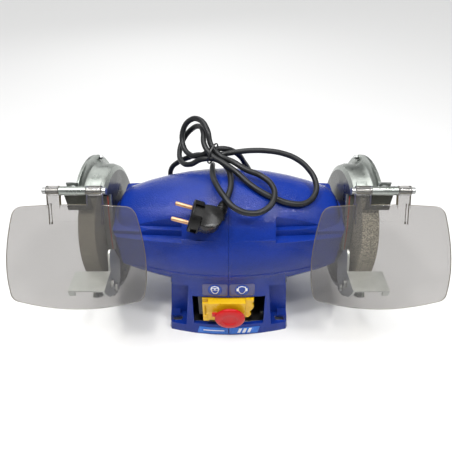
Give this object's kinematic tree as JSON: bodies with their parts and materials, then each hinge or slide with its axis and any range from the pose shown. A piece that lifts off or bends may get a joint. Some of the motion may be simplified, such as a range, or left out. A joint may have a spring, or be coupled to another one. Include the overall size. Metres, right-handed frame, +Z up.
{
  "type": "bench grinder",
  "caption": "Bench grinder with a wheel at each end in an open-fronted guard, clear eye shields, tool rests, a lidded stop switch and a tied mains lead.",
  "frame": {"origin": "centre of the base plate underside, on the bench", "axes": "+X along the spindle to the right wheel, -Y towards the user, +Z up"},
  "size_m": [0.4964, 0.2679, 0.2581],
  "materials": {
    "blue_paint": "glossy fine-textured royal blue paint",
    "zinc_sheet": "zinc-plated sheet",
    "clear_plastic": "clear impact-resistant plastic",
    "fine_grit": "fine aluminium-oxide grit",
    "coarse_grit": "coarse aluminium-oxide grit",
    "copper_wire": "enamelled copper wire",
    "dark_steel": "stacked laminations",
    "yellow_plastic": "glossy yellow",
    "red_plastic": "glossy red",
    "green_plastic": "glossy green",
    "white_plastic": "matt off-white",
    "cord_rubber": "satin charcoal",
    "brass_pin": "plain brass",
    "black_plastic": "satin black",
    "steel": "zinc-plated steel"
  },
  "bodies": {
    "frame": {"base_plate": "steel", "base_screw_1": "steel", "base_screw_2": "steel", "bearing_left": "steel", "bearing_right": "steel", "clamp_bolt_left": "zinc_sheet", "clamp_bolt_right": "zinc_sheet", "cord_gland": "black_plastic", "cord_tie": "black_plastic", "cover_screw_left_1": "steel", "cover_screw_left_2": "steel", "cover_screw_right_1": "steel", "cover_screw_right_2": "steel", "guard_cover_left": "zinc_sheet", "guard_cover_right": "zinc_sheet", "guard_left": "zinc_sheet", "guard_right": "zinc_sheet", "housing_left": "blue_paint", "housing_right": "blue_paint", "plug": "black_plastic", "plug_pin_1": "brass_pin", "plug_pin_2": "brass_pin", "power_cord": "cord_rubber", "rest_bolt_left_1": "steel", "rest_bolt_left_2": "steel", "rest_bolt_right_1": "steel", "rest_bolt_right_2": "steel", "run_capacitor": "white_plastic", "shield_bracket_left": "zinc_sheet", "shield_bracket_right": "zinc_sheet", "spark_flap_left": "zinc_sheet", "spark_flap_right": "zinc_sheet", "stator_core": "dark_steel", "stator_winding_left": "copper_wire", "stator_winding_right": "copper_wire", "switch_body": "black_plastic", "switch_plate": "yellow_plastic", "terminal_block": "white_plastic"},
    "spindle": {"spindle_shaft": "steel", "rotor_core": "dark_steel", "cooling_fan": "black_plastic", "wheel_left": "fine_grit", "wheel_flange_inner_left": "steel", "wheel_flange_outer_left": "steel", "wheel_nut_left": "steel", "wheel_right": "coarse_grit", "wheel_flange_inner_right": "steel", "wheel_flange_outer_right": "steel", "wheel_nut_right": "steel"},
    "shield_right_body": {"shield_right": "clear_plastic", "hinge_pin_right": "steel"},
    "shield_left_body": {"shield_left": "clear_plastic", "hinge_pin_left": "steel"},
    "rest_right_body": {"tool_rest_right": "zinc_sheet"},
    "rest_left_body": {"tool_rest_left": "zinc_sheet"},
    "switch_lid": {"switch_cover": "yellow_plastic"},
    "stop_body": {"stop_button": "red_plastic"},
    "start_body": {"start_button": "green_plastic"},
    "off_body": {"off_button": "red_plastic"}
  },
  "joints": [
    {"name": "spindle_spin", "type": "hinge", "parent": "frame", "child": "spindle", "pos_m": [0, 0, 0.13], "axis": [1, 0, 0], "continuous": true},
    {"name": "shield_right_tilt", "type": "hinge", "parent": "frame", "child": "shield_right_body", "pos_m": [0.17, -0.052, 0.226], "axis": [-1, 0, 0], "range_deg": [0, 105]},
    {"name": "rest_right_slide", "type": "slide", "parent": "frame", "child": "rest_right_body", "axis": [0, 1, 0], "range_m": [-0.006, 0.003]},
    {"name": "shield_left_tilt", "type": "hinge", "parent": "frame", "child": "shield_left_body", "pos_m": [-0.17, -0.052, 0.226], "axis": [-1, 0, 0], "range_deg": [0, 105]},
    {"name": "rest_left_slide", "type": "slide", "parent": "frame", "child": "rest_left_body", "axis": [0, 1, 0], "range_m": [-0.006, 0.003]},
    {"name": "switch_lid_hinge", "type": "hinge", "parent": "frame", "child": "switch_lid", "pos_m": [0.024, -0.0795, 0.05], "axis": [0, 0, 1], "range_deg": [0, 90]},
    {"name": "stop_push", "type": "slide", "parent": "switch_lid", "child": "stop_body", "axis": [0, 1, 0], "range_m": [0, 0.0027], "stiffness_N_per_m": 400, "springref_m": -0.002},
    {"name": "start_push", "type": "slide", "parent": "frame", "child": "start_body", "axis": [0, 1, 0], "range_m": [0, 0.002], "stiffness_N_per_m": 300, "springref_m": -0.002},
    {"name": "off_push", "type": "slide", "parent": "frame", "child": "off_body", "axis": [0, 1, 0], "range_m": [0, 0.002], "stiffness_N_per_m": 300, "springref_m": -0.002}
  ]
}
